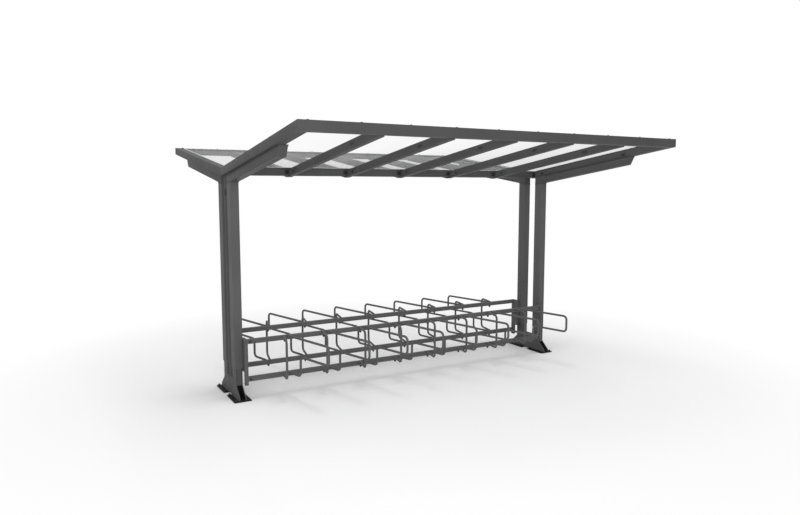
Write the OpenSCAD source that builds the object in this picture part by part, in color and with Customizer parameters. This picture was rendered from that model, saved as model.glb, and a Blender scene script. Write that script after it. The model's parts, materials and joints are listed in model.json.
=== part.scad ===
// Double-sided bicycle shelter with a butterfly roof on paired posts and a two-sided rack of bent-bar wheel holders.
// X runs along the shelter, Y across it with the front at -Y, Z is up and the ground is Z = 0.

/* [Posts] */
// Distance between the left and right post centres
span = 3660; // [3500:10:4000]
// Post size along the shelter
post_w = 80; // [65:1:95]
// Post size across the shelter
post_d = 110; // [90:1:130]
// Corner radius of the posts
post_r = 4; // [2:0.5:8]
// Clear gap between the front and the rear post of a pair
post_gap = 176; // [140:1:220]

/* [Feet] */
// Base plate size along the shelter
plate_x = 160; // [140:1:200]
// Base plate reach beyond the post, towards the middle of the pair
plate_in = 36; // [30:1:60]
// Base plate reach beyond the post, on the outer side
plate_out = 112; // [100:1:140]
// Base plate thickness
plate_t = 12; // [8:1:20]
// Anchor hole diameter
anchor_d = 18; // [12:1:20]
// Distance of the anchor hole centres from the plate's edges
anchor_edge = 20; // [16:1:24]
// Height at which the posts stand on the feet
foot_h = 285; // [260:1:320]
// Foot width over its side plates
foot_w = 64; // [54:1:70]
// Thickness of the side plates
side_t = 8; // [5:1:10]
// Setback of the block between the side plates
block_in = 8; // [4:1:12]
// Height of the block's underside and of the flares' start
flare_z = 125; // [110:1:150]
// Height of the side plates' upright edges at their toes
toe_h = 24; // [15:1:40]
// Distance of the toes from the base plate's edge
toe_in = 10; // [8:1:20]
// Thickness of the web below the block
web_t = 16; // [8:1:24]
// Height of the side plates where they bridge the gap between the posts
bridge_h = 180; // [150:1:220]

/* [Downpipe] */
// Diameter of the downpipe between the left posts
pipe_d = 80; // [60:1:100]

/* [Roof] */
// Height of the roof's outer edges
edge_h = 2408; // [2200:1:2800]
// Distance of each outer edge from the middle of the shelter
reach = 1932; // [1700:1:2200]
// Slope of each wing in degrees
pitch = 8.1; // [5:0.1:11]
// Roof overhang beyond the posts' outer faces at each end
end_over = 28; // [10:1:30]
// Depth of the outer frame's members
frame_d = 75; // [60:1:100]
// Width of the end rafters
end_w = 90; // [80:1:100]
// Thickness of the edge beams
edge_t = 50; // [40:1:70]
// Width of the valley beams
valley_t = 60; // [40:1:80]
// Depth of the valley beams
valley_d = 70; // [50:1:74]
// Number of rafters between the end rafters on each wing
rafters = 5; // [3:1:7]
// Rafter width
rafter_w = 50; // [40:1:70]
// Rafter depth
rafter_d = 72; // [70:1:90]
// Thickness of the roof sheets
sheet_t = 10; // [6:1:16]
// Gap around the roof sheets
sheet_gap = 2; // [1:0.5:4]

/* [Arms] */
// Distance of the arms' upper tips from the middle of the shelter
arm_reach = 1476; // [1200:1:1650]
// Arm depth
arm_d = 82; // [70:1:100]
// Setback of the arms' lower tips, which makes the slanted cut
arm_cut = 48; // [0:1:100]

/* [Rack] */
// Height of the upper rails' centre lines
rail_hi = 545; // [500:1:600]
// Height of the lower rails' centre lines
rail_lo = 192; // [150:1:230]
// Rail size, square tube
rail = 42; // [30:1:50]
// Corner radius of the rails
rail_r = 3; // [2:0.5:6]
// Gap between the rails and the posts' outer faces
rail_gap = 26; // [15:1:40]
// Width of the end brackets along the shelter
bracket_w = 28; // [20:1:40]
// Overlap of the end brackets on the posts
bracket_lap = 48; // [30:1:80]
// Reach of the end brackets below the lower rail
bracket_drop = 35; // [20:1:60]
// Height at which the brackets start to lap the posts
lap_z = 255; // [240:1:300]

/* [Wheel holders] */
// Distance between neighbouring places
place_pitch = 400; // [380:1:420]
// Bar diameter
bar_d = 22; // [14:1:24]
// Bend radius on the bars' centre lines
bend_r = 40; // [30:1:45]
// Angle of each bar away from the wheel's plane
splay = 13; // [10:0.5:15]
// Half of the distance between the two bars at the rail's centre line
throat = 16; // [15:0.5:20]
// Depth of the bars' centre lines below the rails' tops
bar_sink = 2; // [0:0.5:8]
// Distance of the long bar's leg from the rail
leg_out = 228; // [200:1:300]
// Distance of the short bar's leg from the rail
stay_out = 256; // [200:1:300]
// Distance of the long bar's nose from the rail
nose_out = 650; // [550:1:700]
// Height of the lower side of the nose
nose_z = 395; // [360:1:430]

/* [Hidden] */
$fn = 48;

metal = "#5b5b5e";
metal_dark = "#4d4d50";
clear = "#e8ecee";

places = 8;
post_in = post_gap / 2;
post_out = post_in + post_d;
post_x = span / 2;
roof_len = span + post_w + 2 * end_over;
roof_x = roof_len / 2;
slope = tan(pitch);
valley_h = edge_h - reach * slope;
clear_x = roof_x - end_w;
rafter_pitch = (roof_len - end_w) / (rafters + 1);
rail_y = post_out + rail_gap + rail / 2;
rail_x = post_x - post_w / 2 - bracket_w;
bar_hi = rail_hi + rail / 2 - bar_sink;
bar_lo = rail_lo + rail / 2 - bar_sink;
leg_u = tenth(leg_out / cos(splay));
stay_u = tenth(stay_out / cos(splay));
nose_u = tenth(nose_out / cos(splay));

// Length rounded to a tenth of a millimetre, as bars are cut and bent
function tenth(x) = round(x * 10) / 10;

// Height of the roof's top plane at a distance y from the middle
function top_at(y) = valley_h + slope * y;

// Puts a rear left piece, drawn at -X and +Y, at one of the four corners
module corner(front, right) {
  mirror([right ? 1 : 0, 0, 0]) mirror([0, front ? 1 : 0, 0]) children();
}

// Puts a rear wing's piece on the front or the rear
module wing(front) {
  mirror([0, front ? 1 : 0, 0]) children();
}

// Extrudes an outline drawn in Y and Z over a width along X, centred on x
module across(x, width) {
  translate([x + width / 2, 0, 0]) rotate([90, 0, -90]) mirror([1, 0, 0]) linear_extrude(width) children();
}

// Outline of a bar that follows the roof's slope, with plumb ends
module sloped(y0, y1, down, depth) {
  polygon([
    [y0, top_at(y0) - down], [y1, top_at(y1) - down],
    [y1, top_at(y1) - down - depth], [y0, top_at(y0) - down - depth]
  ]);
}

// Section of a rectangular tube with rounded corners
module tube_section(width, depth, r) {
  square([width - 2 * r, depth], center = true);
  square([width, depth - 2 * r], center = true);
  for (sx = [-1, 1], sy = [-1, 1])
    translate([sx * (width / 2 - r), sy * (depth / 2 - r)]) circle(r = r);
}

// Round bar bent in one plane along corner points, with equal bends
module bent_bar(p) {
  n = len(p) - 1;
  d = [for (i = [0 : n - 1]) (p[i + 1] - p[i]) / norm(p[i + 1] - p[i])];
  a = [for (v = d) atan2(v[1], v[0])];
  turn = [for (i = [1 : n - 1]) let (t = a[i] - a[i - 1]) t > 180 ? t - 360 : t < -180 ? t + 360 : t];
  trim = [for (t = turn) bend_r * tan(abs(t) / 2)];
  for (i = [0 : n - 1]) {
    s = p[i] + d[i] * (i > 0 ? trim[i - 1] : 0);
    e = p[i + 1] - d[i] * (i < n - 1 ? trim[i] : 0);
    translate([s[0], 0, s[1]]) rotate([0, 90 - a[i], 0]) cylinder(d = bar_d, h = norm(e - s));
  }
  for (i = [1 : n - 1]) {
    side = turn[i - 1] > 0 ? 1 : -1;
    c = p[i] - d[i - 1] * trim[i - 1] + side * bend_r * [-d[i - 1][1], d[i - 1][0]];
    first = side > 0 ? a[i - 1] - 90 : a[i - 1] + 90 + turn[i - 1];
    translate([c[0], 0, c[1]]) rotate([90, 0, 0]) rotate([0, 0, first])
      rotate_extrude(angle = abs(turn[i - 1])) translate([bend_r, 0]) circle(d = bar_d);
  }
}

// Post with its top cut to the arm's underside
module post() {
  down = frame_d + arm_d;
  color(metal) intersection() {
    translate([-post_x, post_in + post_d / 2, foot_h]) linear_extrude(edge_h) tube_section(post_w, post_d, post_r);
    across(-post_x, 2 * post_w) polygon([
      [0, foot_h], [2 * post_out, foot_h], [2 * post_out, top_at(2 * post_out) - down], [0, top_at(0) - down]
    ]);
  }
}

// Base plate with four anchor holes, two flared side plates, and a block and a web between them
module foot() {
  y0 = post_in - plate_in;
  y1 = post_out + plate_out;
  clear_w = foot_w - 2 * side_t;
  middle = (post_in + post_out) / 2;
  color(metal_dark) {
    difference() {
      translate([-post_x - plate_x / 2, y0, 0]) cube([plate_x, y1 - y0, plate_t]);
      for (sx = [-1, 1], y = [y0 + anchor_edge, y1 - anchor_edge])
        translate([-post_x + sx * (plate_x / 2 - anchor_edge), y, -1]) cylinder(d = anchor_d, h = plate_t + 2);
    }
    for (sx = [-1, 1])
      across(-post_x + sx * (foot_w - side_t) / 2, side_t) polygon([
        [0, plate_t], [0, bridge_h], [post_in, bridge_h], [post_in, foot_h], [post_out, foot_h],
        [post_out, flare_z], [y1 - toe_in, plate_t + toe_h], [y1 - toe_in, plate_t]
      ]);
    translate([-post_x - clear_w / 2, post_in + block_in, flare_z])
      cube([clear_w, post_d - 2 * block_in, foot_h - flare_z]);
    translate([-post_x - clear_w / 2, middle - web_t / 2, plate_t]) cube([clear_w, web_t, flare_z - plate_t]);
  }
}

// Downpipe from the valley's left end down to the bridges between the left posts
module downpipe() {
  color(metal) intersection() {
    translate([-post_x, 0, 0]) cylinder(d = pipe_d, h = edge_h);
    across(-post_x, 2 * pipe_d) polygon([
      [-pipe_d, bridge_h], [pipe_d, bridge_h], [pipe_d, top_at(pipe_d) - frame_d],
      [0, top_at(0) - frame_d], [-pipe_d, top_at(pipe_d) - frame_d]
    ]);
  }
}

// Arm under the end rafter, from the post's inner face to a slanted tip
module arm() {
  color(metal) across(-post_x, post_w) polygon([
    [post_in, top_at(post_in) - frame_d], [arm_reach, top_at(arm_reach) - frame_d],
    [arm_reach - arm_cut, top_at(arm_reach - arm_cut) - frame_d - arm_d],
    [post_in, top_at(post_in) - frame_d - arm_d]
  ]);
}

// End rafter from the valley to the edge beam
module end_rafter() {
  color(metal) across(-roof_x + end_w / 2, end_w) sloped(0, reach - edge_t, 0, frame_d);
}

// Beam along a wing's outer edge
module edge_beam() {
  color(metal) across(0, roof_len) sloped(reach - edge_t, reach, 0, frame_d);
}

// Beam along a wing's valley, between the end rafters
module valley_beam() {
  color(metal) across(0, 2 * clear_x) sloped(0, valley_t, 0, valley_d);
}

// Rafters below the sheet, notched at the valley so that a tongue carries the valley beam
module rafter_row() {
  low = sheet_t + rafter_d;
  outer = reach - edge_t;
  color(metal) for (i = [1 : rafters])
    across(-roof_x + end_w / 2 + i * rafter_pitch, rafter_w) polygon([
      [valley_t, top_at(valley_t) - sheet_t], [outer, top_at(outer) - sheet_t],
      [outer, top_at(outer) - low], [0, top_at(0) - low],
      [0, top_at(0) - valley_d], [valley_t, top_at(valley_t) - valley_d]
    ]);
}

// Clear sheet that lies on the rafters, inside the wing's frame
module roof_sheet() {
  color(clear) across(0, 2 * (clear_x - sheet_gap))
    sloped(valley_t + sheet_gap, reach - edge_t - sheet_gap, 0, sheet_t);
}

// Two rails with a bracket at each end: an upright before the post and a lap on the post's inner side
module rack_frame() {
  low = rail_lo - rail / 2 - bracket_drop;
  high = rail_hi + rail / 2;
  inner = post_out - bracket_lap;
  outer = rail_y + rail / 2;
  color(metal) {
    for (z = [rail_lo, rail_hi])
      translate([-rail_x, rail_y, z]) rotate([90, 0, 90]) linear_extrude(2 * rail_x) tube_section(rail, rail, rail_r);
    for (x = [-rail_x - bracket_w / 2, rail_x + bracket_w / 2])
      across(x, bracket_w) polygon([
        [inner, lap_z], [inner, high], [outer, high], [outer, low], [outer - rail, low], [outer - rail, lap_z]
      ]);
  }
}

// One bicycle place: a long bar with a nose and a short bar, splayed apart, cut to the rails' faces
module holder(i, front) {
  nose = [[0, bar_hi], [nose_u, bar_hi], [nose_u, nose_z], [leg_u, nose_z], [leg_u, bar_lo], [0, bar_lo]];
  stay = [[0, bar_hi], [stay_u, bar_hi], [stay_u, bar_lo], [0, bar_lo]];
  color(metal_dark)
    translate([(i - (places + 1) / 2) * place_pitch, 0, 0]) rotate([0, 0, front ? 180 : 0]) intersection() {
      union() {
        translate([-throat, rail_y, 0]) rotate([0, 0, 90 + splay]) bent_bar(nose);
        translate([throat, rail_y, 0]) rotate([0, 0, 90 - splay]) bent_bar(stay);
      }
      translate([-place_pitch, rail_y + rail / 2, 0]) cube([2 * place_pitch, 2 * nose_out, 2 * rail_hi]);
    }
}

module front_left_post() { corner(true, false) post(); }
module front_right_post() { corner(true, true) post(); }
module rear_left_post() { corner(false, false) post(); }
module rear_right_post() { corner(false, true) post(); }
module front_left_foot() { corner(true, false) foot(); }
module front_right_foot() { corner(true, true) foot(); }
module rear_left_foot() { corner(false, false) foot(); }
module rear_right_foot() { corner(false, true) foot(); }
module front_left_arm() { corner(true, false) arm(); }
module front_right_arm() { corner(true, true) arm(); }
module rear_left_arm() { corner(false, false) arm(); }
module rear_right_arm() { corner(false, true) arm(); }
module front_left_end_rafter() { corner(true, false) end_rafter(); }
module front_right_end_rafter() { corner(true, true) end_rafter(); }
module rear_left_end_rafter() { corner(false, false) end_rafter(); }
module rear_right_end_rafter() { corner(false, true) end_rafter(); }
module front_edge_beam() { wing(true) edge_beam(); }
module rear_edge_beam() { wing(false) edge_beam(); }
module front_valley_beam() { wing(true) valley_beam(); }
module rear_valley_beam() { wing(false) valley_beam(); }
module front_rafters() { wing(true) rafter_row(); }
module rear_rafters() { wing(false) rafter_row(); }
module front_roof_sheet() { wing(true) roof_sheet(); }
module rear_roof_sheet() { wing(false) roof_sheet(); }
module front_rack_frame() { wing(true) rack_frame(); }
module rear_rack_frame() { wing(false) rack_frame(); }
module front_holder_1() { holder(1, true); }
module front_holder_2() { holder(2, true); }
module front_holder_3() { holder(3, true); }
module front_holder_4() { holder(4, true); }
module front_holder_5() { holder(5, true); }
module front_holder_6() { holder(6, true); }
module front_holder_7() { holder(7, true); }
module front_holder_8() { holder(8, true); }
module rear_holder_1() { holder(1, false); }
module rear_holder_2() { holder(2, false); }
module rear_holder_3() { holder(3, false); }
module rear_holder_4() { holder(4, false); }
module rear_holder_5() { holder(5, false); }
module rear_holder_6() { holder(6, false); }
module rear_holder_7() { holder(7, false); }
module rear_holder_8() { holder(8, false); }

front_left_post();
front_right_post();
rear_left_post();
rear_right_post();
front_left_foot();
front_right_foot();
rear_left_foot();
rear_right_foot();
front_left_arm();
front_right_arm();
rear_left_arm();
rear_right_arm();
front_left_end_rafter();
front_right_end_rafter();
rear_left_end_rafter();
rear_right_end_rafter();
front_edge_beam();
rear_edge_beam();
front_valley_beam();
rear_valley_beam();
front_rafters();
rear_rafters();
front_roof_sheet();
rear_roof_sheet();
downpipe();
front_rack_frame();
rear_rack_frame();
front_holder_1();
front_holder_2();
front_holder_3();
front_holder_4();
front_holder_5();
front_holder_6();
front_holder_7();
front_holder_8();
rear_holder_1();
rear_holder_2();
rear_holder_3();
rear_holder_4();
rear_holder_5();
rear_holder_6();
rear_holder_7();
rear_holder_8();
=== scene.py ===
import json
import math

import bmesh
import bpy
from mathutils import Matrix, Vector

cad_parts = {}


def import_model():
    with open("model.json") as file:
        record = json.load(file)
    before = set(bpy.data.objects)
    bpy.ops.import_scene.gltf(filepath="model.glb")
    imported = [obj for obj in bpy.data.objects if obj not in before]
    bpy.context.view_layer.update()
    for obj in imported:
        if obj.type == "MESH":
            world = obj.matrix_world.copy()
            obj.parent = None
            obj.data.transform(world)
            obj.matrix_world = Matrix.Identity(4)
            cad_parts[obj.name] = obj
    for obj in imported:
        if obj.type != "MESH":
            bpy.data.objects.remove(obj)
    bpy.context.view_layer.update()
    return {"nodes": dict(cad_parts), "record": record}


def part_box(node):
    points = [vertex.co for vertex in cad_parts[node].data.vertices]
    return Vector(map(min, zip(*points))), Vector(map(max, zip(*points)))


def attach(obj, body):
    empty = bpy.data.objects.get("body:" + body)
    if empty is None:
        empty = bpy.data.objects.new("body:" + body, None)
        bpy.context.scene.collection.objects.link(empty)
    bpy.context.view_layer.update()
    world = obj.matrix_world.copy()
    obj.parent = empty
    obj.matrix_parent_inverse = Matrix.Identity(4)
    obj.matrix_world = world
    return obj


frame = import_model()
nodes = frame["nodes"]

# Metres in a millimetre, for the record's spacings
MM = 0.001

# Camera of the photograph: metres, degrees, and millimetres of lens and sensor
CAMERA_PLACE = (-3.5474, -6.1603, 1.9609)
CAMERA_YAW = 60.06
CAMERA_PITCH = 6.06
CAMERA_LENS = 30.02
CAMERA_REACH = 300
SENSOR_WIDTH = 36.0

# Light: an even surround, a soft lamp overhead and a weak one at the front left
WORLD_LIGHT = 0.74
TOP_LAMP = {"at": (0.0, -0.4, 7.5), "aim": (0, 0, 0), "size": 2.4, "power": 125.0}
FRONT_LAMP = {"at": (-3.8, -6.2, 2.4), "aim": (-1.0, 0, 1.0), "size": 2.5, "power": 95.0}

# Floor: its size and finish, where its shadow starts to fade into white, and where it has gone
FLOOR_HALF = 60.0
FLOOR_TONES = ((0.94, 0.94, 0.94), (0.96, 0.96, 0.96))
FLOOR_DRIFT = (0.3, 3.0)
FLOOR_ROUGHNESS = 0.9
FLOOR_SPECULAR = 0.1
FADE_START = 1.9
FADE_END = 4.4

# The shelter's faces and ends, as signs along Y and X, and its corners with their signs along Y
SIDES = {"front": -1, "rear": 1}
ENDS = {"left": -1, "right": 1}
CORNERS = [(f"{side}_{end}", sy) for side, sy in SIDES.items() for end in ENDS]

# Roof, from the frame: the top plane of each wing rises from the valley to its outer edge
ROOF_PITCH = 8.1
SLOPE = math.tan(math.radians(ROOF_PITCH))
_, EDGE_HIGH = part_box("rear_edge_beam")
FRAME_DEPTH = 0.075
SHEET_THICK = 0.010
RAFTERS = 5
RAFTER_WIDTH = 0.050
RAFTER_DEPTH = 0.072
END_WIDTH = 0.090
END_INNER = EDGE_HIGH.x - END_WIDTH
RAFTER_STEP = (2 * EDGE_HIGH.x - END_WIDTH) / (RAFTERS + 1)
VALLEY_FACE = 0.060
ARM_CUT = 0.048
ARM_DEPTH = 0.082

# Rack, from the frame: rails, brackets, places and the bars' ends on the rails' faces
RACK_LOW, RACK_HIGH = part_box("rear_rack_frame")
RAIL = 0.042
RAIL_FACE = RACK_HIGH.y
RAIL_MIDDLE = RAIL_FACE - RAIL / 2
BRACKET_WIDTH = 0.028
BRACKET_DROP = 0.035
RAIL_END = RACK_HIGH.x - BRACKET_WIDTH
RAIL_TOPS = (RACK_HIGH.z, RACK_LOW.z + BRACKET_DROP + RAIL)
PLACES = 8
PLACE_PITCH = 0.4
BAR_RADIUS = 0.011
BAR_SINK = 0.002
BAR_SPLAY = 13.0
BAR_HALF_GAP = 0.016
BAR_OFFSET = BAR_HALF_GAP + RAIL / 2 * math.tan(math.radians(BAR_SPLAY))

# Feet, from the frame
FOOT_LOW, FOOT_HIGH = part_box("rear_right_foot")
FOOT_X = (FOOT_LOW.x + FOOT_HIGH.x) / 2
PLATE_TOP = 0.012
PLATE_TOLERANCE = 0.0005
PLATE_LENGTH = 0.258
FOOT_HALF_WIDTH = 0.032
RECESS_HALF_WIDTH = 0.0245
RECESS_TOP = 0.1255
TOE_SETBACK = 0.010
FOOT_TOE = FOOT_HIGH.y - TOE_SETBACK

# Fasteners: thread sizes, shares of the thread size, ends out of nuts, and turns about their axes
ANCHOR = 0.012
PLACE_BOLT = 0.014
RAIL_BOLT = 0.010
ROOF_BOLT = 0.012
SCREW = 0.006
WASHER_RADIUS = 1.05
WASHER_THICK = 0.18
HEX_FLATS = 1.65
HEAD_HEIGHT = 0.64
NUT_HEIGHT = 0.8
ANCHOR_END = 0.005
PLACE_BOLT_END = 0.008
RAIL_BOLT_SETBACK = 0.022
ANCHOR_SPIN = 0.4
BOLT_SPIN = 0.3
SCREW_SPIN = 0.2

# Their chamfers, as shares of thickness, corner radius, height and thread radius, and points round them
WASHER_CHAMFER = 0.2
HEX_CROWN = 0.93
HEX_CHAMFER = 0.12
SHANK_CHAMFER = 0.15
WASHER_POINTS = 24
HEX_POINTS = 6
SHANK_POINTS = 16

# Weld beads: length of a step, points round it, ripples along it, and radii
BEAD_STEP = 0.003
BEAD_ANGLES = [i * math.pi / 4 for i in range(8)]
BEAD_RIPPLE = 0.14
BEAD_RIPPLE_TURN = 2.1
FOOT_BEAD = 0.004
POST_BEAD = 0.0035
BAR_BEAD = 0.0035
BAR_BEAD_STEPS = 12

# Band and screws of the downpipe
BAND_LOW = 1.880
BAND_HEIGHT = 0.060
BAND_THICK = 0.002
BAND_RIM = 0.001
BAND_POINTS = 64
BAND_TURN = math.radians(242)
BAND_SCREWS = (1.852, 2.045)

# Seals round the sheets
SEAL_WIDTH = 0.012
SEAL_HEIGHT = 0.004
SEAL_SINK = 0.0005
SEAL_ANGLES = [k * math.pi / 6 for k in range(7)]

# Round caps along the roof's edges
ROOF_CAPS = 10
ROOF_CAP_RADIUS = 0.011
ROOF_CAP_HEIGHT = 0.0065
ROOF_CAP_SETBACK = 0.016
ROOF_CAP_END = 0.081
DOME_BASE = 0.3
DOME_ANGLES = (0.4, 0.8, 1.2, 1.45)
DOME_POINTS = 20

# Fins, cleats and clips on the rafters: spans down a rafter's side are shares of its depth
PLATE_RIM = 0.001
CLEAT_TOP = 0.12
CLEAT_SIZE = 0.042
FIN_END = 0.235
FIN_SPAN = (0.2, 0.8)
FIN_THICK = 0.005
FIN_BOLT = 0.190
RAFTER_CLIP = 1.44
END_CLIP = 1.38
CLIP_LENGTH = 0.060
CLIP_SPAN = (0.36, 0.64)
CLIP_THICK = 0.003
RAFTER_MIDDLE = 0.5

# Near-black strips that paint the shadow of a gap between the arms and the end rafters, and end caps of the
# arms
SHADOW_STRIP_START = 0.25
SHADOW_STRIP_HEIGHT = 0.011
SHADOW_STRIP_THICK = 0.0015
SHADOW_STRIP_RIM = 0.0004
ARM_CAP_INSET = 0.003
ARM_CAP_THICK = 0.003

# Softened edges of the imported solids, by the last word of a node's name
EDGE_WIDTHS = {
    "arm": 0.003,
    "rafter": 0.003,
    "rafters": 0.003,
    "beam": 0.003,
    "frame": 0.0012,
    "foot": 0.0015,
}
EDGE_SEGMENTS = 3
EDGE_ANGLE = 40
MERGE_DISTANCE = 0.00005

# Powder coat: noises, as scale and detail, and spans of its tone, gloss, dust and orange peel
COAT_DRIFT = (2.2, 3.0)
COAT_GLOSS = (9.0, 4.0)
COAT_ROUGHNESS = (0.46, 0.58)
COAT_SPECULAR = 0.04
DUST = (0.34, 0.33, 0.31)
DUST_GRAIN = (35.0, 6.0)
DUST_SHARES = (0.4, 1.0)
DUST_SLOPES = (0.6, 1.0)
# Near-black for the feet: painted shade in the recesses between the side plates, and the base plates' dark
# tone
RECESS_SHADE_AND_PLATE_DARK = (0.018, 0.018, 0.018)
PEEL_GRAIN = (650.0, 2.0)
PEEL_DEPTH = 0.0002
PEEL_STRENGTH = 0.35

# Clear sheet: noises, as scale and detail, its greys, faint clouding, and a dark grey haze that grows at a
# glance along it, adding gloss and a painted grey reflection
SHEET_CLOUD_AND_REFLECTION_GREYS = ((0.09, 0.094, 0.098), (0.13, 0.134, 0.138))
SHEET_GREY_DRIFT = (0.8, 3.0)
SHEET_CLOUD = (0.022, 0.042)
SHEET_CLOUD_DRIFT = (1.6, 5.0)
SHEET_GLANCE_PAINTED_REFLECTION = 0.3
SHEET_GLANCE_REFLECTION_SPAN = (0.82, 0.94)
SHEET_GLOSS = (14.0, 4.0)
SHEET_ROUGHNESS = (0.04, 0.1)
SHEET_IOR = 1.58
SHEET_SPECULAR = 0.12

# Fasteners' metal and rubber: noises, as scale and detail, and spans
METAL_MOTTLE = (260.0, 3.0)
METAL_PALER = 1.35
METAL_GLOSS = (420.0, 3.0)
METAL_ROUGHNESS = (0.32, 0.5)
RUBBER_DIRT = (24.0, 5.0)
RUBBER_GLOSS = (90.0, 3.0)
RUBBER_ROUGHNESS = (0.5, 0.7)


def top_at(y):
    """Height of the roof's top plane at a distance from the middle."""
    return EDGE_HIGH.z - SLOPE * (EDGE_HIGH.y - abs(y))


def roof_up(sy):
    """Direction square to a wing's top plane."""
    return Vector((0, -sy * SLOPE, 1)).normalized()


def place_x(i):
    return (i - (PLACES - 1) / 2) * PLACE_PITCH


def rafter_x(i):
    return (i - (RAFTERS - 1) / 2) * RAFTER_STEP


def reach_of(low, high):
    """How far a box reaches from the middle, along Y."""
    return max(abs(low.y), abs(high.y))


# Materials

def new_material(name):
    mat = bpy.data.materials.new(name)
    mat.use_nodes = True
    tree = mat.node_tree
    return mat, tree, tree.nodes["Principled BSDF"]


def link(tree, out_socket, in_socket):
    tree.links.new(out_socket, in_socket)


def noise(tree, coords, scale, detail):
    node = tree.nodes.new("ShaderNodeTexNoise")
    node.inputs["Scale"].default_value = scale
    node.inputs["Detail"].default_value = detail
    link(tree, coords, node.inputs["Vector"])
    return node.outputs["Fac"]


def remap(tree, value, low, high, start=0.3, end=0.7):
    """Maps a value from one span, a noise's usual one by default, to another."""
    node = tree.nodes.new("ShaderNodeMapRange")
    node.inputs["From Min"].default_value = start
    node.inputs["From Max"].default_value = end
    node.inputs["To Min"].default_value = low
    node.inputs["To Max"].default_value = high
    link(tree, value, node.inputs["Value"])
    return node.outputs["Result"]


def maths(tree, operation, first, second):
    node = tree.nodes.new("ShaderNodeMath")
    node.operation = operation
    for socket, value in zip(node.inputs, (first, second)):
        if isinstance(value, bpy.types.NodeSocket):
            link(tree, value, socket)
        else:
            socket.default_value = value
    return node.outputs[0]


def mix_colours(tree, factor, first, second):
    node = tree.nodes.new("ShaderNodeMix")
    node.data_type = "RGBA"
    for socket, value in ((node.inputs["A"], first), (node.inputs["B"], second)):
        if isinstance(value, bpy.types.NodeSocket):
            link(tree, value, socket)
        else:
            socket.default_value = (*value, 1.0)
    link(tree, factor, node.inputs["Factor"])
    return node.outputs["Result"]


def bump(tree, height, distance, strength):
    node = tree.nodes.new("ShaderNodeBump")
    node.inputs["Distance"].default_value = distance
    node.inputs["Strength"].default_value = strength
    link(tree, height, node.inputs["Height"])
    return node.outputs["Normal"]


def object_coords(tree):
    return tree.nodes.new("ShaderNodeTexCoord").outputs["Object"]


def split_axes(tree, vector):
    node = tree.nodes.new("ShaderNodeSeparateXYZ")
    link(tree, vector, node.inputs[0])
    return node.outputs


def powder_coat(name, base, pale, dust=0.05, darkening=None):
    """Matt powder coat: orange peel, slow drifts of tone and gloss, dust on top faces, and near-black
    darkening where a mask is given, which for the feet is painted shade in their recesses and a dark tone
    on their base plates.
    """
    mat, tree, shader = new_material(name)
    coords = object_coords(tree)
    colour = mix_colours(tree, remap(tree, noise(tree, coords, *COAT_DRIFT), 0.0, 1.0), base, pale)
    up = split_axes(tree, tree.nodes.new("ShaderNodeNewGeometry").outputs["Normal"])["Z"]
    lying = remap(tree, up, 0.0, dust, *DUST_SLOPES)
    specks = remap(tree, noise(tree, coords, *DUST_GRAIN), *DUST_SHARES)
    colour = mix_colours(tree, maths(tree, "MULTIPLY", lying, specks), colour, DUST)
    # Near-black darkening where a mask is given: painted shade in the feet's recesses, and a dark tone on
    # their base plates
    if darkening:
        colour = mix_colours(tree, darkening(tree, coords), colour, RECESS_SHADE_AND_PLATE_DARK)
    link(tree, colour, shader.inputs["Base Color"])
    gloss = noise(tree, coords, *COAT_GLOSS)
    link(tree, remap(tree, gloss, *COAT_ROUGHNESS), shader.inputs["Roughness"])
    shader.inputs["Specular IOR Level"].default_value = COAT_SPECULAR
    peel = noise(tree, coords, *PEEL_GRAIN)
    link(tree, bump(tree, peel, PEEL_DEPTH, PEEL_STRENGTH), shader.inputs["Normal"])
    return mat


def foot_recess_shade_and_dark_plates(tree, coords):
    """One on the base plates, which it darkens, and in the recesses between the feet's side plates, where
    it paints shade.
    """
    place = split_axes(tree, coords)
    off = maths(tree, "SUBTRACT", maths(tree, "ABSOLUTE", place["X"], 0.0), FOOT_X)
    # Painted shade in the recesses between the side plates
    inside = maths(tree, "LESS_THAN", maths(tree, "ABSOLUTE", off, 0.0), RECESS_HALF_WIDTH)
    recess = maths(tree, "MULTIPLY", inside, maths(tree, "LESS_THAN", place["Z"], RECESS_TOP))
    on_plate = maths(tree, "LESS_THAN", place["Z"], PLATE_TOP + PLATE_TOLERANCE)
    return maths(tree, "MAXIMUM", recess, on_plate)


def clear_sheet(name):
    """Clear polycarbonate: see-through, with faint clouding, and a dark grey haze at a glance along it that
    adds gloss and paints a grey reflection.
    """
    mat, tree, shader = new_material(name)
    coords = object_coords(tree)
    facing = tree.nodes.new("ShaderNodeLayerWeight").outputs["Facing"]
    cloud = remap(tree, noise(tree, coords, *SHEET_CLOUD_DRIFT), *SHEET_CLOUD)
    # Dark grey haze at a glance: painted reflection of a grey surround, along with the sheet's gloss there
    glance_painted_reflection = remap(tree, facing, 0.0, SHEET_GLANCE_PAINTED_REFLECTION, *SHEET_GLANCE_REFLECTION_SPAN)
    link(tree, maths(tree, "ADD", cloud, glance_painted_reflection), shader.inputs["Alpha"])
    greys = mix_colours(tree, noise(tree, coords, *SHEET_GREY_DRIFT), *SHEET_CLOUD_AND_REFLECTION_GREYS)
    link(tree, greys, shader.inputs["Base Color"])
    gloss = noise(tree, coords, *SHEET_GLOSS)
    link(tree, remap(tree, gloss, *SHEET_ROUGHNESS), shader.inputs["Roughness"])
    shader.inputs["IOR"].default_value = SHEET_IOR
    shader.inputs["Specular IOR Level"].default_value = SHEET_SPECULAR
    mat.surface_render_method = "BLENDED"
    return mat


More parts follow.
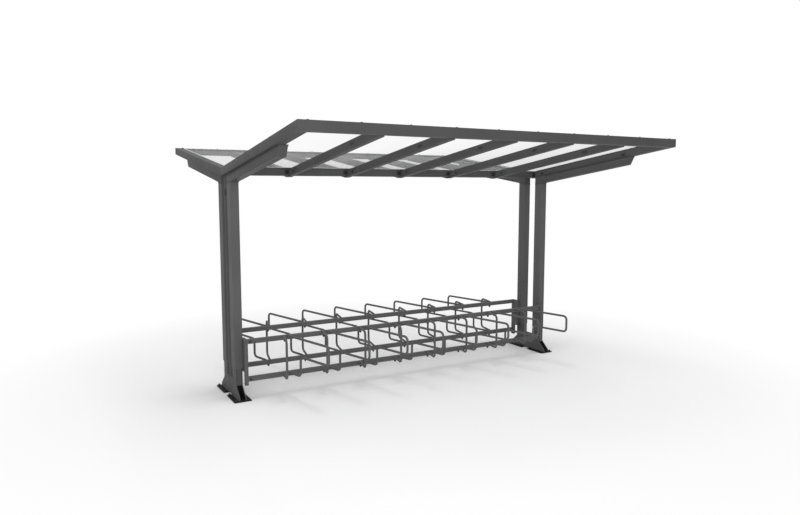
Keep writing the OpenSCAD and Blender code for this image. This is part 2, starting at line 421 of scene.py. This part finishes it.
def metal(name, base, metallic):
    """Plated or bare fastener: mottled tone and gloss."""
    mat, tree, shader = new_material(name)
    coords = object_coords(tree)
    mottle = remap(tree, noise(tree, coords, *METAL_MOTTLE), 0.0, 1.0)
    pale = tuple(METAL_PALER * c for c in base)
    link(tree, mix_colours(tree, mottle, base, pale), shader.inputs["Base Color"])
    gloss = noise(tree, coords, *METAL_GLOSS)
    link(tree, remap(tree, gloss, *METAL_ROUGHNESS), shader.inputs["Roughness"])
    shader.inputs["Metallic"].default_value = metallic
    return mat


def rubber(name, base, pale):
    """Soft strip or cap: dull, with faint dirt."""
    mat, tree, shader = new_material(name)
    coords = object_coords(tree)
    dirt = remap(tree, noise(tree, coords, *RUBBER_DIRT), 0.0, 1.0)
    link(tree, mix_colours(tree, dirt, base, pale), shader.inputs["Base Color"])
    gloss = noise(tree, coords, *RUBBER_GLOSS)
    link(tree, remap(tree, gloss, *RUBBER_ROUGHNESS), shader.inputs["Roughness"])
    return mat


FRAME_PAINT = powder_coat("frame_powder_coat", (0.078, 0.078, 0.080), (0.090, 0.090, 0.092))
# Posts: a lighter copy of the frame's powder coat, painted light for the extra light the posts get from the
# floor
POST_PAINTED_LIGHT = powder_coat("post_powder_coat_painted_light", (0.103, 0.103, 0.105), (0.117, 0.117, 0.119))
FOOT_PAINT = powder_coat("foot_powder_coat", (0.088, 0.088, 0.090), (0.100, 0.100, 0.102), 0.2, foot_recess_shade_and_dark_plates)
RACK_PAINT = powder_coat("rack_powder_coat", (0.103, 0.103, 0.105), (0.119, 0.119, 0.121))
SHEET = clear_sheet("clear_polycarbonate")
ZINC = metal("zinc_screw", (0.42, 0.43, 0.44), 0.8)
BOLT = metal("dark_bolt", (0.014, 0.014, 0.015), 0.2)
SEAL = rubber("pale_seal", (0.62, 0.63, 0.63), (0.74, 0.75, 0.75))
# Near-black rubber for caps and the pipe's band; the arms' strips and the rafters' cleats wear it as
# painted shade
DARK_CAP_AND_SHADE = rubber("dark_cap_and_painted_shade", (0.014, 0.014, 0.015), (0.024, 0.024, 0.025))
NODE_MATERIALS = {
    "frame_paint": FRAME_PAINT,
    "foot_paint": FOOT_PAINT,
    "rack_paint": RACK_PAINT,
    "roof_sheet": SHEET,
}


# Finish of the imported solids

def soften(obj, width):
    weld = obj.modifiers.new("weld", "WELD")
    weld.merge_threshold = MERGE_DISTANCE
    edge = obj.modifiers.new("edges", "BEVEL")
    edge.width = width
    edge.segments = EDGE_SEGMENTS
    edge.limit_method = "ANGLE"
    edge.angle_limit = math.radians(EDGE_ANGLE)
    edge.harden_normals = True
    for poly in obj.data.polygons:
        poly.use_smooth = True


def finish_nodes():
    slots = {row["node"]: row["material_slot"] for row in frame["record"]["subparts"]}
    for name, obj in nodes.items():
        obj.data.materials.clear()
        kind = name.split("_")[-1]
        # Posts take the lighter copy of the frame paint: painted light
        obj.data.materials.append(POST_PAINTED_LIGHT if kind == "post" else NODE_MATERIALS[slots[name]])
        if kind in EDGE_WIDTHS:
            soften(obj, EDGE_WIDTHS[kind])


# Shapes of small pieces

def add_loops(bm, loops, closed=False):
    """Skins loops of points with quads, as a tube that is capped at its ends or closed on itself."""
    rows = [[bm.verts.new(point) for point in loop] for loop in loops]
    count = len(rows[0])
    pairs = list(zip(rows, rows[1:]))
    if closed:
        pairs.append((rows[-1], rows[0]))
    for low, high in pairs:
        for i in range(count):
            j = (i + 1) % count
            bm.faces.new((low[i], low[j], high[j], high[i]))
    if not closed:
        bm.faces.new(reversed(rows[0]))
        bm.faces.new(rows[-1])


def add_rings(bm, place, sides, rings):
    """A closed solid of rings (radius, height) about the local Z axis of place."""
    step = 2 * math.pi / sides
    loops = []
    for radius, height in rings:
        angles = [i * step for i in range(sides)]
        loops.append([place @ Vector((radius * math.cos(a), radius * math.sin(a), height)) for a in angles])
    add_loops(bm, loops)


def pointing(at, along, spin=0.0):
    """Place whose local Z runs along a direction, turned by spin about it."""
    turn = Vector(along).normalized().to_track_quat("Z", "X").to_matrix().to_4x4()
    return Matrix.Translation(at) @ turn @ Matrix.Rotation(spin, 4, "Z")


def lift(height):
    return Matrix.Translation((0, 0, height))


def washer(bm, place, size):
    radius = WASHER_RADIUS * size
    thick = WASHER_THICK * size
    rim = WASHER_CHAMFER * thick
    rings = [(radius - rim, 0), (radius, rim), (radius, thick - rim), (radius - rim, thick)]
    add_rings(bm, place, WASHER_POINTS, rings)


def hexagon(bm, place, flats, height):
    """Hex head or nut with a chamfered crown."""
    corner = flats / math.sqrt(3)
    inner = HEX_CROWN * corner
    edge = HEX_CHAMFER * height
    rings = [(inner, 0), (corner, edge), (corner, height - edge), (inner, height)]
    add_rings(bm, place, HEX_POINTS, rings)


def shank(bm, place, radius, height):
    tip = SHANK_CHAMFER * radius
    rings = [(radius, 0), (radius, height - tip), (radius - tip, height)]
    add_rings(bm, place, SHANK_POINTS, rings)


def bolt_head(bm, at, along, size, spin=0.0):
    """Washer and hex head of a bolt of the given thread size, seated at a point."""
    place = pointing(at, along, spin)
    washer(bm, place, size)
    hexagon(bm, place @ lift(WASHER_THICK * size), HEX_FLATS * size, HEAD_HEIGHT * size)


def nut_and_end(bm, at, along, size, out, spin=0.0):
    """Washer, nut and the bolt's end that stands out of it."""
    place = pointing(at, along, spin)
    washer(bm, place, size)
    hexagon(bm, place @ lift(WASHER_THICK * size), HEX_FLATS * size, NUT_HEIGHT * size)
    shank(bm, place @ lift((WASHER_THICK + NUT_HEIGHT) * size), size / 2, out)


def dome(bm, at, along, radius, height):
    """Round sealing cap over a screw."""
    rings = [(radius, 0), (radius, DOME_BASE * height)]
    for a in DOME_ANGLES:
        rings.append((radius * math.cos(a), height * (DOME_BASE + (1 - DOME_BASE) * math.sin(a))))
    add_rings(bm, pointing(at, along), DOME_POINTS, rings)


def plate(bm, outline, out, thick, edge):
    """Flat plate on an outline, grown along a direction, with chamfered rims."""
    out = Vector(out).normalized()
    points = [Vector(p) for p in outline]
    middle = sum(points, Vector()) / len(points)

    def inset(height):
        return [p + (middle - p).normalized() * edge + out * height for p in points]

    full = [[p + out * h for p in points] for h in (edge, thick - edge)]
    add_loops(bm, [inset(0), *full, inset(thick)])


def rippled(radius, step):
    """Radius of a weld bead at one of its steps."""
    return radius * (1.0 + BEAD_RIPPLE * math.sin(BEAD_RIPPLE_TURN * step))


def bead(bm, path, radius, closed=False):
    """Weld bead along straight runs: a tube with fine ripples."""
    points = [Vector(p) for p in path]
    ends = points[1:] + points[:1] if closed else points[1:]
    last = 0 if closed else 1
    loops = []
    for start, end in zip(points, ends):
        run = (end - start).length
        steps = max(2, round(run / BEAD_STEP))
        turn = (end - start).to_track_quat("Z", "X").to_matrix()
        for k in range(steps + last):
            grown = rippled(radius, k)
            at = start.lerp(end, k / steps)
            ring = [Vector((grown * math.cos(a), grown * math.sin(a), 0)) for a in BEAD_ANGLES]
            loops.append([at + turn @ p for p in ring])
    add_loops(bm, loops, closed)


def add_piece(name, bm, material, smooth=False):
    mesh = bpy.data.meshes.new(name)
    bmesh.ops.recalc_face_normals(bm, faces=bm.faces)
    bm.to_mesh(mesh)
    bm.free()
    for poly in mesh.polygons:
        poly.use_smooth = smooth
    mesh.materials.append(material)
    obj = bpy.data.objects.new(name, mesh)
    bpy.context.scene.collection.objects.link(obj)
    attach(obj, "root")


# Feet and posts

def anchor_bolts():
    mounts = {row["name"]: row for row in frame["record"]["mounts"]}
    for corner, _ in CORNERS:
        bm = bmesh.new()
        mount = mounts[f"{corner}_anchors"]
        x, y, _ = mount["pos_m"]
        dx = MM * mount["dims"]["spacing_x_mm"] / 2
        dy = MM * mount["dims"]["spacing_y_mm"] / 2
        for i, (px, py) in enumerate(((-dx, -dy), (-dx, dy), (dx, -dy), (dx, dy))):
            at = (x + px, y + py, PLATE_TOP)
            nut_and_end(bm, at, (0, 0, 1), ANCHOR, ANCHOR_END, ANCHOR_SPIN * i)
        add_piece(f"{corner}_anchor_bolts", bm, BOLT)


def foot_welds():
    """Beads along the outer sides of the feet's side plates, on the base plate."""
    for corner, sy in CORNERS:
        low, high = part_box(f"{corner}_foot")
        middle = (low.x + high.x) / 2
        inner = reach_of(low, high) - PLATE_LENGTH
        bm = bmesh.new()
        for side in (-1, 1):
            x = middle + side * FOOT_HALF_WIDTH
            bead(bm, [(x, sy * inner, PLATE_TOP), (x, sy * FOOT_TOE, PLATE_TOP)], FOOT_BEAD)
        add_piece(f"{corner}_foot_welds", bm, FOOT_PAINT, True)


def post_welds():
    """A bead round the top of each post, under its arm."""
    for corner, _ in CORNERS:
        low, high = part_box(f"{corner}_post")
        outer = reach_of(low, high)
        path = []
        for x, y in ((low.x, low.y), (high.x, low.y), (high.x, high.y), (low.x, high.y)):
            path.append((x, y, high.z - SLOPE * (outer - abs(y))))
        bm = bmesh.new()
        bead(bm, path, POST_BEAD, True)
        add_piece(f"{corner}_post_weld", bm, FRAME_PAINT, True)


def pipe_bands():
    """Band that holds the downpipe, and its screws."""
    low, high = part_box("downpipe")
    radius = (high.x - low.x) / 2
    grown = radius + BAND_THICK
    middle = Vector(((low.x + high.x) / 2, 0, 0))
    bands = bmesh.new()
    rings = [(radius, 0), (grown, BAND_RIM), (grown, BAND_HEIGHT - BAND_RIM), (radius, BAND_HEIGHT)]
    add_rings(bands, Matrix.Translation(middle + Vector((0, 0, BAND_LOW))), BAND_POINTS, rings)
    out = Vector((math.cos(BAND_TURN), math.sin(BAND_TURN), 0))
    screws = bmesh.new()
    for z in BAND_SCREWS:
        bolt_head(screws, middle + out * radius + Vector((0, 0, z)), out, SCREW, SCREW_SPIN)
    add_piece("downpipe_band", bands, DARK_CAP_AND_SHADE)
    add_piece("downpipe_screws", screws, ZINC)


# Roof

def seals():
    """Pale half-round strips over the joints between the sheets and their frames."""
    for side, sy in SIDES.items():
        low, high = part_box(f"{side}_roof_sheet")
        inner, outer = sorted((abs(low.y), abs(high.y)))
        gap = SEAL_WIDTH / 4
        lines = [
            ((low.x, inner - gap), (high.x, inner - gap)),
            ((low.x, outer + gap), (high.x, outer + gap)),
            ((low.x - gap, inner), (low.x - gap, outer)),
            ((high.x + gap, inner), (high.x + gap, outer)),
        ]
        bm = bmesh.new()
        for ends in lines:
            start, end = (Vector((x, sy * y, top_at(y))) for x, y in ends)
            across = (end - start).cross(roof_up(sy)).normalized()
            profile = []
            for a in SEAL_ANGLES:
                height = SEAL_HEIGHT * math.sin(a) - SEAL_SINK
                profile.append(across * (SEAL_WIDTH / 2 * math.cos(a)) + roof_up(sy) * height)
            add_loops(bm, [[start + p for p in profile], [end + p for p in profile]])
        add_piece(f"{side}_sheet_seals", bm, SEAL)


def roof_caps():
    """Round caps over the screws along the top of the edge beams."""
    y = EDGE_HIGH.y - ROOF_CAP_SETBACK
    reach = EDGE_HIGH.x - ROOF_CAP_END
    for side, sy in SIDES.items():
        bm = bmesh.new()
        for i in range(ROOF_CAPS):
            x = reach * (2 * i / (ROOF_CAPS - 1) - 1)
            dome(bm, (x, sy * y, top_at(y)), roof_up(sy), ROOF_CAP_RADIUS, ROOF_CAP_HEIGHT)
        add_piece(f"{side}_roof_caps", bm, DARK_CAP_AND_SHADE, True)


def on_rafter(x, sy, y, down):
    """Point on a rafter's side at a distance from the middle, down by a share of the rafter's depth."""
    return Vector((x, sy * y, top_at(y) - SHEET_THICK - down * RAFTER_DEPTH))


def side_plate(bm, x, sy, ends, span, thick):
    """Plate on the left side of a rafter, between two distances from the middle."""
    (y0, y1), (high, low) = ends, span
    corners = ((y0, high), (y1, high), (y1, low), (y0, low))
    plate(bm, [on_rafter(x, sy, y, down) for y, down in corners], (-1, 0, 0), thick, PLATE_RIM)


def rafter_joints():
    """Fins and cleats where rafters meet the valley beams, clips near the arms' ends, and their bolts; the
    cleats are near-black, painted shade at those joints.
    """
    drop = Vector((0, 0, -CLEAT_SIZE))
    wide = Vector((-CLEAT_SIZE, 0, 0))
    for side, sy in SIDES.items():
        fins, cleats, bolts = bmesh.new(), bmesh.new(), bmesh.new()
        along = Vector((0, sy, 0))
        for i in range(RAFTERS + 1):
            at_end = i == RAFTERS
            spin = BOLT_SPIN * i
            x = END_INNER if at_end else rafter_x(i) - RAFTER_WIDTH / 2
            corner = on_rafter(x, sy, VALLEY_FACE, CLEAT_TOP)
            outline = [corner, corner + wide, corner + wide + drop, corner + drop]
            plate(cleats, outline, along, FIN_THICK, PLATE_RIM)
            bolt_head(bolts, corner + (wide + drop) / 2 + along * FIN_THICK, along, ROOF_BOLT, spin)
            side_plate(fins, x, sy, (VALLEY_FACE, FIN_END), FIN_SPAN, FIN_THICK)
            fin_bolt = on_rafter(x - FIN_THICK, sy, FIN_BOLT, RAFTER_MIDDLE)
            bolt_head(bolts, fin_bolt, (-1, 0, 0), ROOF_BOLT, spin)
            clip = END_CLIP if at_end else RAFTER_CLIP
            clip_ends = (clip - CLIP_LENGTH / 2, clip + CLIP_LENGTH / 2)
            side_plate(cleats, x, sy, clip_ends, CLIP_SPAN, CLIP_THICK)
            clip_screw = on_rafter(x - CLIP_THICK, sy, clip, RAFTER_MIDDLE)
            bolt_head(bolts, clip_screw, (-1, 0, 0), SCREW, spin)
        add_piece(f"{side}_rafter_fins", fins, FRAME_PAINT)
        # Cleats and clips in the near-black cap rubber: on the cleats, painted shade round the joints
        add_piece(f"{side}_rafter_cleats", cleats, DARK_CAP_AND_SHADE)
        add_piece(f"{side}_rafter_bolts", bolts, BOLT)


def arm_shadow_strips():
    """Near-black strips along both sides of the joints between the arms and the end rafters: painted shadow
    of a gap there.
    """
    for corner, sy in CORNERS:
        low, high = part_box(f"{corner}_arm")
        tip = reach_of(low, high)
        corners = (
            (SHADOW_STRIP_START, 0),
            (tip, 0),
            (tip - SHADOW_STRIP_HEIGHT / 2, SHADOW_STRIP_HEIGHT),
            (SHADOW_STRIP_START, SHADOW_STRIP_HEIGHT),
        )
        bm = bmesh.new()
        for x, out in ((low.x, -1), (high.x, 1)):
            outline = [(x, sy * y, top_at(y) - FRAME_DEPTH - down) for y, down in corners]
            plate(bm, outline, (out, 0, 0), SHADOW_STRIP_THICK, SHADOW_STRIP_RIM)
        add_piece(f"{corner}_arm_shadow_strips", bm, DARK_CAP_AND_SHADE)


def arm_caps():
    """End caps in the slanted tips of the arms."""
    for corner, sy in CORNERS:
        low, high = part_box(f"{corner}_arm")
        tip = reach_of(low, high)
        heel_y = tip - ARM_CUT
        top = Vector((0, sy * tip, top_at(tip) - FRAME_DEPTH))
        heel = Vector((0, sy * heel_y, top_at(heel_y) - FRAME_DEPTH - ARM_DEPTH))
        down = (heel - top).normalized()
        out = Vector((1, 0, 0)).cross(down) * sy
        left = Vector((low.x + ARM_CAP_INSET, 0, 0))
        right = Vector((high.x - ARM_CAP_INSET, 0, 0))
        upper = top + down * ARM_CAP_INSET
        lower = heel - down * ARM_CAP_INSET
        bm = bmesh.new()
        plate(bm, [left + upper, right + upper, right + lower, left + lower], out, ARM_CAP_THICK, PLATE_RIM)
        add_piece(f"{corner}_arm_cap", bm, FRAME_PAINT)


# Rack

def rail_bolts():
    """Bolt ends under the rails at each place, and bolt heads on the rails' faces next to the brackets."""
    for side, sy in SIDES.items():
        bm = bmesh.new()
        for top in RAIL_TOPS:
            for i in range(PLACES):
                at = (place_x(i), sy * RAIL_MIDDLE, top - RAIL)
                nut_and_end(bm, at, (0, 0, -1), PLACE_BOLT, PLACE_BOLT_END, BOLT_SPIN * i)
            for sx in ENDS.values():
                at = (sx * (RAIL_END - RAIL_BOLT_SETBACK), sy * RAIL_FACE, top - RAIL / 2)
                bolt_head(bm, at, (0, sy, 0), RAIL_BOLT, SCREW_SPIN)
        add_piece(f"{side}_rail_bolts", bm, BOLT)


def bar_welds():
    """Beads round the bars' ends on the rails' faces."""
    for side, sy in SIDES.items():
        bm = bmesh.new()
        for top in RAIL_TOPS:
            for i in range(PLACES):
                for sx in (-1, 1):
                    at = (place_x(i) + sx * BAR_OFFSET, sy * RAIL_FACE, top - BAR_SINK)
                    add_bar_weld(bm, at, sy)
        add_piece(f"{side}_bar_welds", bm, RACK_PAINT, True)


def add_bar_weld(bm, at, sy):
    """Half a ring below a bar's end, where the rail's face backs it."""
    along = Vector((0, sy, 0))
    loops = []
    for k in range(BAR_BEAD_STEPS + 1):
        a = math.pi + k * math.pi / BAR_BEAD_STEPS
        outward = Vector((math.cos(a), 0, math.sin(a)))
        centre = Vector(at) + outward * BAR_RADIUS
        grown = rippled(BAR_BEAD, k)
        ring = [outward * grown * math.cos(b) + along * grown * math.sin(b) for b in BEAD_ANGLES]
        loops.append([centre + p for p in ring])
    add_loops(bm, loops)


# Stage

def floor():
    mesh = bpy.data.meshes.new("floor")
    half = FLOOR_HALF
    corners = [(-half, -half, 0), (half, -half, 0), (half, half, 0), (-half, half, 0)]
    mesh.from_pydata(corners, [], [(0, 1, 2, 3)])
    obj = bpy.data.objects.new("floor", mesh)
    bpy.context.scene.collection.objects.link(obj)
    mat, tree, shader = new_material("floor_white")
    coords = object_coords(tree)
    tone = mix_colours(tree, noise(tree, coords, *FLOOR_DRIFT), *FLOOR_TONES)
    link(tree, tone, shader.inputs["Base Color"])
    shader.inputs["Roughness"].default_value = FLOOR_ROUGHNESS
    shader.inputs["Specular IOR Level"].default_value = FLOOR_SPECULAR
    away = tree.nodes.new("ShaderNodeVectorMath")
    away.operation = "LENGTH"
    link(tree, coords, away.inputs[0])
    fade = remap(tree, away.outputs["Value"], 0.0, 1.0, FADE_START, FADE_END)
    white = tree.nodes.new("ShaderNodeEmission")
    blend = tree.nodes.new("ShaderNodeMixShader")
    link(tree, maths(tree, "MULTIPLY", fade, seen_rays(tree)), blend.inputs["Fac"])
    link(tree, shader.outputs[0], blend.inputs[1])
    link(tree, white.outputs[0], blend.inputs[2])
    link(tree, blend.outputs[0], tree.nodes["Material Output"].inputs["Surface"])
    mesh.materials.append(mat)


def seen_rays(tree):
    """One for the rays that show the background: from the camera, in gloss and through glass."""
    rays = tree.nodes.new("ShaderNodeLightPath")
    seen = maths(tree, "MAXIMUM", rays.outputs["Is Camera Ray"], rays.outputs["Is Glossy Ray"])
    return maths(tree, "MAXIMUM", seen, rays.outputs["Is Transmission Ray"])


def world():
    scene_world = bpy.data.worlds.new("studio")
    bpy.context.scene.world = scene_world
    scene_world.use_nodes = True
    tree = scene_world.node_tree
    back = tree.nodes["Background"]
    back.inputs["Color"].default_value = (1, 1, 1, 1)
    strength = remap(tree, seen_rays(tree), WORLD_LIGHT, 1.0, 0.0, 1.0)
    link(tree, strength, back.inputs["Strength"])


def area_light(name, at, aim, size, power):
    data = bpy.data.lights.new(name, "AREA")
    data.shape = "DISK"
    data.size = size
    data.energy = power
    obj = bpy.data.objects.new(name, data)
    obj.location = at
    obj.rotation_euler = (Vector(aim) - Vector(at)).to_track_quat("-Z", "Y").to_euler()
    bpy.context.scene.collection.objects.link(obj)


def camera():
    data = bpy.data.cameras.new("camera")
    data.lens = CAMERA_LENS
    data.sensor_width = SENSOR_WIDTH
    data.clip_end = CAMERA_REACH
    obj = bpy.data.objects.new("camera", data)
    yaw = math.radians(CAMERA_YAW)
    pitch = math.radians(CAMERA_PITCH)
    look = Vector((math.cos(yaw) * math.cos(pitch), math.sin(yaw) * math.cos(pitch), -math.sin(pitch)))
    obj.location = CAMERA_PLACE
    obj.rotation_euler = look.to_track_quat("-Z", "Y").to_euler()
    bpy.context.scene.collection.objects.link(obj)
    bpy.context.scene.camera = obj


finish_nodes()
anchor_bolts()
foot_welds()
post_welds()
pipe_bands()
seals()
roof_caps()
rafter_joints()
arm_shadow_strips()
arm_caps()
rail_bolts()
bar_welds()
floor()
world()
area_light("top_lamp", **TOP_LAMP)
area_light("front_lamp", **FRONT_LAMP)
camera()
bpy.context.scene.view_settings.view_transform = "Standard"
